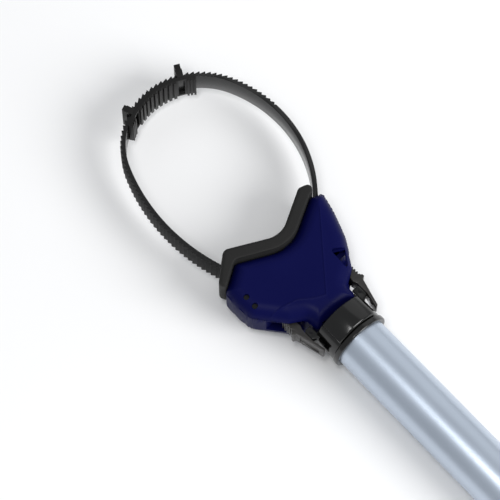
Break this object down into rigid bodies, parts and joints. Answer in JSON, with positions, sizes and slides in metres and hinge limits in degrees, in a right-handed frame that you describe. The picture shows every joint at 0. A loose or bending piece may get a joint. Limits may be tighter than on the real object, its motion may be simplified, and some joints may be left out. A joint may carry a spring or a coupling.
{
  "type": "sock aid",
  "caption": "Long-handled dressing aid: a toothed strap loop on a ratchet head with a soft V pad, clipped to an aluminium pole with a rubber grip.",
  "frame": {"origin": "centre of the hanging hole in the end cap", "axes": "+X along the pole towards the loop, +Z out of the front of the head, -Z its flat rear"},
  "size_m": [0.763, 0.0799, 0.0297],
  "materials": {
    "aluminium_tube": "satin anodised",
    "black_plastic": "fine matt",
    "gloss_black_plastic": "polished",
    "slider_plastic": "fine matt",
    "strap_plastic": "semi-gloss",
    "blue_plastic": "satin moulded",
    "pad_rubber": "soft matt",
    "grip_rubber": "soft matt",
    "steel": "bright"
  },
  "bodies": {
    "pole_and_head": {"pole_tube": "aluminium_tube", "end_cap": "black_plastic", "grip_sleeve": "grip_rubber", "pole_adapter": "gloss_black_plastic", "adapter_panel": "gloss_black_plastic", "adapter_rivet": "steel", "front_shell": "blue_plastic", "rear_shell": "blue_plastic", "v_pad": "pad_rubber", "shell_screws": "steel", "strap": "strap_plastic", "strap_anchor_pins": "steel", "pawl_spring": "steel", "pawl_pin": "steel", "stop_pin": "steel", "lever_pin_left": "steel", "lever_pin_right": "steel"},
    "pawl": {"pawl": "steel", "release_tab": "black_plastic"},
    "lever_left": {"lever_left": "black_plastic", "lever_spring_left": "steel"},
    "lever_right": {"lever_right": "black_plastic", "lever_spring_right": "steel"},
    "slider": {"slider_pad": "slider_plastic", "slider_clips": "slider_plastic"}
  },
  "joints": [
    {"name": "pawl_turn", "type": "hinge", "parent": "pole_and_head", "child": "pawl", "pos_m": [0.6447, 0.026, 0], "axis": [0, 0, -1], "range_deg": [0, 15], "stiffness_Nm_per_rad": 0.05},
    {"name": "lever_left_squeeze", "type": "hinge", "parent": "pole_and_head", "child": "lever_left", "pos_m": [0.6152, 0.0146, 0], "axis": [0, 0, 1], "range_deg": [0, 5], "stiffness_Nm_per_rad": 0.2},
    {"name": "lever_right_squeeze", "type": "hinge", "parent": "pole_and_head", "child": "lever_right", "pos_m": [0.6152, -0.0146, 0], "axis": [0, 0, -1], "range_deg": [0, 5], "stiffness_Nm_per_rad": 0.2},
    {"name": "slider_travel", "type": "hinge", "parent": "pole_and_head", "child": "slider", "pos_m": [0.7159, -0.01, 0], "axis": [0, 0, 1], "range_deg": [-24, 24]}
  ]
}
